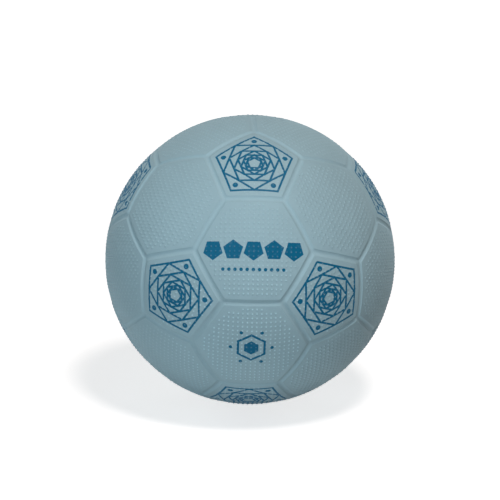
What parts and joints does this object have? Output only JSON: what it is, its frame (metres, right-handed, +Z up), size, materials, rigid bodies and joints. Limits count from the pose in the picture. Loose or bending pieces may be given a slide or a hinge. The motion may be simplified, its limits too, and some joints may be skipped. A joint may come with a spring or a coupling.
{
  "type": "soccer ball",
  "caption": "Round ball with pentagon and hexagon rubber cover panels over a thread winding, an air bladder and a push-in needle valve, for kicking and for display.",
  "frame": {"origin": "the centre of the ball", "axes": "+Z up; X, Y and Z each run through the middle of a seam between two hexagon panels; -Y is the side towards the viewer of the picture, with a plain hexagon above the middle seam; the valve is in the hexagon above the middle seam of the +Y side"},
  "size_m": [0.22, 0.22, 0.22],
  "materials": {
    "pentagon_rubber": "pale grey-blue moulded rubber with pimples, printed in blue, semi-matte",
    "hexagon_rubber": "pale grey-blue moulded rubber with pimples, semi-matte",
    "winding_thread": "wound nylon thread, matte",
    "bladder_rubber": "black butyl rubber, matte",
    "housing_rubber": "dark grey rubber, matte",
    "plug_rubber": "black rubber, satin"
  },
  "bodies": {
    "ball": {"pentagon_panel_01": "pentagon_rubber", "pentagon_panel_02": "pentagon_rubber", "pentagon_panel_03": "pentagon_rubber", "pentagon_panel_04": "pentagon_rubber", "pentagon_panel_05": "pentagon_rubber", "pentagon_panel_06": "pentagon_rubber", "pentagon_panel_07": "pentagon_rubber", "pentagon_panel_08": "pentagon_rubber", "pentagon_panel_09": "pentagon_rubber", "pentagon_panel_10": "pentagon_rubber", "pentagon_panel_11": "pentagon_rubber", "pentagon_panel_12": "pentagon_rubber", "hexagon_panel_01": "hexagon_rubber", "hexagon_panel_02": "hexagon_rubber", "hexagon_panel_03": "hexagon_rubber", "hexagon_panel_04": "hexagon_rubber", "hexagon_panel_05": "hexagon_rubber", "hexagon_panel_06": "hexagon_rubber", "hexagon_panel_07": "hexagon_rubber", "hexagon_panel_08": "hexagon_rubber", "hexagon_panel_09": "hexagon_rubber", "hexagon_panel_10": "hexagon_rubber", "hexagon_panel_11": "hexagon_rubber", "hexagon_panel_12": "hexagon_rubber", "hexagon_panel_13": "hexagon_rubber", "hexagon_panel_14": "hexagon_rubber", "hexagon_panel_15": "hexagon_rubber", "hexagon_panel_16": "hexagon_rubber", "hexagon_panel_17": "hexagon_rubber", "hexagon_panel_18": "hexagon_rubber", "hexagon_panel_19": "hexagon_rubber", "valve_panel": "hexagon_rubber", "winding_layer": "winding_thread", "bladder": "bladder_rubber", "valve_housing": "housing_rubber"},
    "valve_plug": {"valve_plug": "plug_rubber"}
  },
  "joints": [
    {"name": "valve_plug_pull", "type": "slide", "parent": "ball", "child": "valve_plug", "axis": [0, 0.9342, 0.3568], "range_m": [0, 0.018]}
  ]
}
